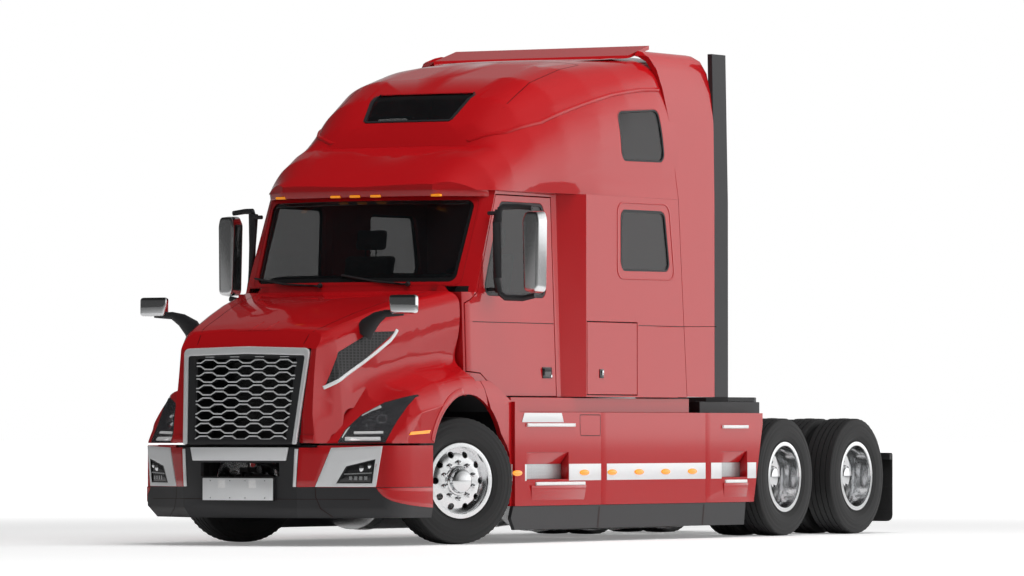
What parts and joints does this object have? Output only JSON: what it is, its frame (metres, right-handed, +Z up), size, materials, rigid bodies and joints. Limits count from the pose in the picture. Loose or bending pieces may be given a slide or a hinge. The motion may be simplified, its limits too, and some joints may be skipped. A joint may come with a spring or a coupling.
{
  "type": "semi truck tractor unit",
  "caption": "Conventional-cab road tractor with a high-roof sleeper, tilting hood, steered front wheels, twin-tyred tandem drive axles and a fifth wheel coupling",
  "frame": {"origin": "middle of the bounding box on the ground", "axes": "+Z up, the truck faces -Y, its left side is +X"},
  "size_m": [3.03, 8.758, 4.083],
  "materials": {
    "red_paint": "red clearcoat",
    "bright_trim": "polished",
    "black_plastic": "satin moulded",
    "flap_rubber": "flat sheet",
    "tyre_rubber": "moulded",
    "polished_aluminium": "polished",
    "frame_paint": "black chassis paint",
    "cast_steel": "cast",
    "tinted_glass": "dark tint",
    "lamp_lens": "clear lens over dark housing",
    "cab_fabric": "dark woven trim"
  },
  "bodies": {
    "root": {"cab_front": "red_paint", "cab_back": "red_paint", "cab_sides": "red_paint", "roof": "red_paint", "side_extenders": "red_paint", "chassis_fairings": "red_paint", "bumper_corners": "red_paint", "bumper": "black_plastic", "side_skirts": "black_plastic", "extender_trims": "black_plastic", "steps": "black_plastic", "deck_box": "black_plastic", "dashboard": "black_plastic", "mud_flaps": "flap_rubber", "fuel_tanks": "polished_aluminium", "chassis_frame": "frame_paint", "front_axle": "frame_paint", "drive_axles": "frame_paint", "springs": "frame_paint", "cab_floor": "frame_paint", "engine": "cast_steel", "windscreen": "tinted_glass", "fixed_windows": "tinted_glass", "lamps": "lamp_lens", "seats_and_bunk": "cab_fabric"},
    "hood": {"hood": "red_paint", "grilles": "black_plastic", "grille_surround": "bright_trim", "headlamps": "lamp_lens", "hood_mirrors": "bright_trim"},
    "door_left": {"door_left": "red_paint", "door_glass_left": "tinted_glass", "door_mirror_left": "bright_trim"},
    "door_right": {"door_right": "red_paint", "door_glass_right": "tinted_glass", "door_mirror_right": "bright_trim"},
    "luggage_left": {"luggage_door_left": "red_paint"},
    "luggage_right": {"luggage_door_right": "red_paint"},
    "knuckle_left": {"knuckle_left": "cast_steel"},
    "knuckle_right": {"knuckle_right": "cast_steel"},
    "tie_rod": {"tie_rod": "cast_steel"},
    "front_wheel_left": {"front_tyre_left": "tyre_rubber", "front_wheel_left": "polished_aluminium"},
    "front_wheel_right": {"front_tyre_right": "tyre_rubber", "front_wheel_right": "polished_aluminium"},
    "fifth_wheel": {"fifth_wheel": "cast_steel"},
    "drive_front_left": {"drive_tyres_front_left": "tyre_rubber", "drive_wheels_front_left": "polished_aluminium"},
    "drive_front_right": {"drive_tyres_front_right": "tyre_rubber", "drive_wheels_front_right": "polished_aluminium"},
    "drive_rear_left": {"drive_tyres_rear_left": "tyre_rubber", "drive_wheels_rear_left": "polished_aluminium"},
    "drive_rear_right": {"drive_tyres_rear_right": "tyre_rubber", "drive_wheels_rear_right": "polished_aluminium"}
  },
  "joints": [
    {"name": "hood_tilt", "type": "hinge", "parent": "root", "child": "hood", "pos_m": [0, -4.3, 0.42], "axis": [1, 0, 0], "range_deg": [0, 70]},
    {"name": "door_left_hinge", "type": "hinge", "parent": "root", "child": "door_left", "pos_m": [1.097, -2.712, 1.9], "axis": [0, 0, -1], "range_deg": [0, 65]},
    {"name": "door_right_hinge", "type": "hinge", "parent": "root", "child": "door_right", "pos_m": [-1.097, -2.712, 1.9], "axis": [0, 0, 1], "range_deg": [0, 65]},
    {"name": "luggage_left_hinge", "type": "hinge", "parent": "root", "child": "luggage_left", "pos_m": [1.223, -0.234, 1.47], "axis": [0, 0, 1], "range_deg": [0, 95]},
    {"name": "luggage_right_hinge", "type": "hinge", "parent": "root", "child": "luggage_right", "pos_m": [-1.223, -0.234, 1.47], "axis": [0, 0, -1], "range_deg": [0, 95]},
    {"name": "steer_left", "type": "hinge", "parent": "root", "child": "knuckle_left", "pos_m": [0.9, -2.8, 0.5], "axis": [0, 0, 1], "range_deg": [-20, 70]},
    {"name": "steer_right", "type": "hinge", "parent": "root", "child": "knuckle_right", "pos_m": [-0.9, -2.8, 0.5], "axis": [0, 0, 1], "range_deg": [-20, 70]},
    {"name": "tie_rod_eye", "type": "hinge", "parent": "knuckle_left", "child": "tie_rod", "pos_m": [0.97184, -2.64593, 0.34], "axis": [0, 0, 1], "range_deg": [-70, 20]},
    {"name": "front_wheel_left_spin", "type": "hinge", "parent": "knuckle_left", "child": "front_wheel_left", "pos_m": [0.9, -2.8, 0.5], "axis": [0.9063, -0.4226, 0], "continuous": true},
    {"name": "front_wheel_right_spin", "type": "hinge", "parent": "knuckle_right", "child": "front_wheel_right", "pos_m": [-0.9, -2.8, 0.5], "axis": [0.9063, -0.4226, 0], "continuous": true},
    {"name": "drive_front_left_spin", "type": "hinge", "parent": "root", "child": "drive_front_left", "pos_m": [0.91, 2.37, 0.5], "axis": [1, 0, 0], "continuous": true},
    {"name": "drive_front_right_spin", "type": "hinge", "parent": "root", "child": "drive_front_right", "pos_m": [-0.91, 2.37, 0.5], "axis": [1, 0, 0], "continuous": true},
    {"name": "drive_rear_left_spin", "type": "hinge", "parent": "root", "child": "drive_rear_left", "pos_m": [0.91, 3.69, 0.5], "axis": [1, 0, 0], "continuous": true},
    {"name": "drive_rear_right_spin", "type": "hinge", "parent": "root", "child": "drive_rear_right", "pos_m": [-0.91, 3.69, 0.5], "axis": [1, 0, 0], "continuous": true},
    {"name": "fifth_wheel_tilt", "type": "hinge", "parent": "root", "child": "fifth_wheel", "pos_m": [0, 3.03, 1.085], "axis": [1, 0, 0], "range_deg": [-12, 12]}
  ],
  "couplings": [
    {"joint": "steer_right", "follows": "steer_left", "ratio": 1},
    {"joint": "tie_rod_eye", "follows": "steer_left", "ratio": -1}
  ]
}
